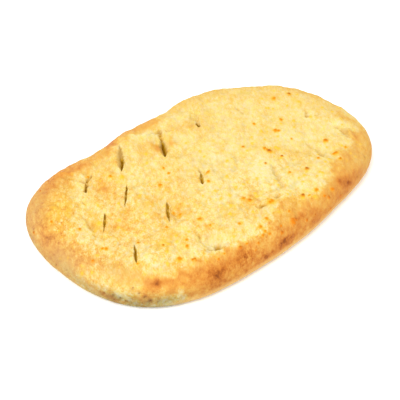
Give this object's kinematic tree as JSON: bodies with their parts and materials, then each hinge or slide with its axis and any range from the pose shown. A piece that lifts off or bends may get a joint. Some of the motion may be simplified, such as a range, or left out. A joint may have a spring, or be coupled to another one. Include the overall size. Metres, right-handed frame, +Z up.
{
  "type": "pizza bread",
  "caption": "Flat oblong loaf of pizza bread with a soft browned rim, diagonal knife slits in the top and a pale crust with small toasted blisters.",
  "frame": {"origin": "centre of the loaf's outline, at the height of its flat underside", "axes": "+X along the loaf's long side, +Z up out of its slit top"},
  "size_m": [0.308, 0.1926, 0.029],
  "materials": {
    "crust": "baked bread crust, pale yellow and matte on top, toasted golden brown round the rim"
  },
  "bodies": {
    "root": {"pizza_bread": "crust"}
  },
  "joints": []
}
